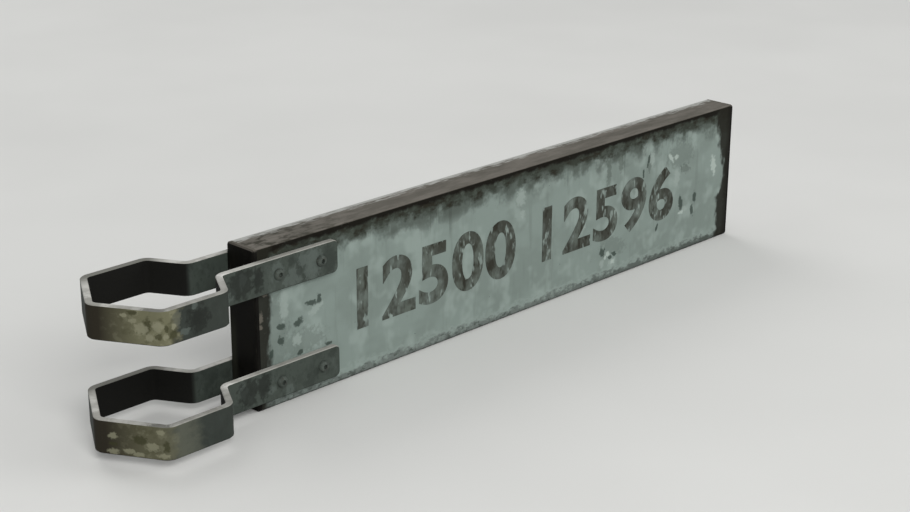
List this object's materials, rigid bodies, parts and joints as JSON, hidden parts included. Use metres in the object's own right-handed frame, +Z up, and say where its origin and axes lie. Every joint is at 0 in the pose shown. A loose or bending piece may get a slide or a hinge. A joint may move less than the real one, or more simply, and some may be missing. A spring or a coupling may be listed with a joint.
{
  "type": "street name sign",
  "caption": "Hollow rectangular name blade with end caps, held off a round post by folded flat-bar straps that wrap the post and screw through the blade.",
  "frame": {"origin": "on the post's axis, at the blade's mid-height", "axes": "+X out along the blade, away from the post; +Y to the sign's back, where the nuts are; +Z up along the post"},
  "size_m": [0.8347, 0.1144, 0.15],
  "materials": {
    "blade_paint": "weathered pale grey-green paint with dark rust and grime along its edges",
    "cap_plastic": "black moulded plastic, dirty",
    "strap_paint": "dark grey-green paint, rusty and blotched at the loops, worn bright along its edges",
    "fastener_steel": "dull zinc plate going to rust",
    "sleeve_steel": "bored hexagon bar, as cut",
    "numeral_paint": "worn dark brown-grey paint"
  },
  "bodies": {
    "root": {"blade_tube": "blade_paint", "post_end_cap": "cap_plastic", "free_end_cap": "cap_plastic", "upper_strap": "strap_paint", "upper_near_screw": "fastener_steel", "upper_near_washer": "fastener_steel", "upper_near_nut": "fastener_steel", "upper_near_sleeve": "sleeve_steel", "upper_far_screw": "fastener_steel", "upper_far_washer": "fastener_steel", "upper_far_nut": "fastener_steel", "upper_far_sleeve": "sleeve_steel", "lower_strap": "strap_paint", "lower_near_screw": "fastener_steel", "lower_near_washer": "fastener_steel", "lower_near_nut": "fastener_steel", "lower_near_sleeve": "sleeve_steel", "lower_far_screw": "fastener_steel", "lower_far_washer": "fastener_steel", "lower_far_nut": "fastener_steel", "lower_far_sleeve": "sleeve_steel"}
  },
  "joints": []
}
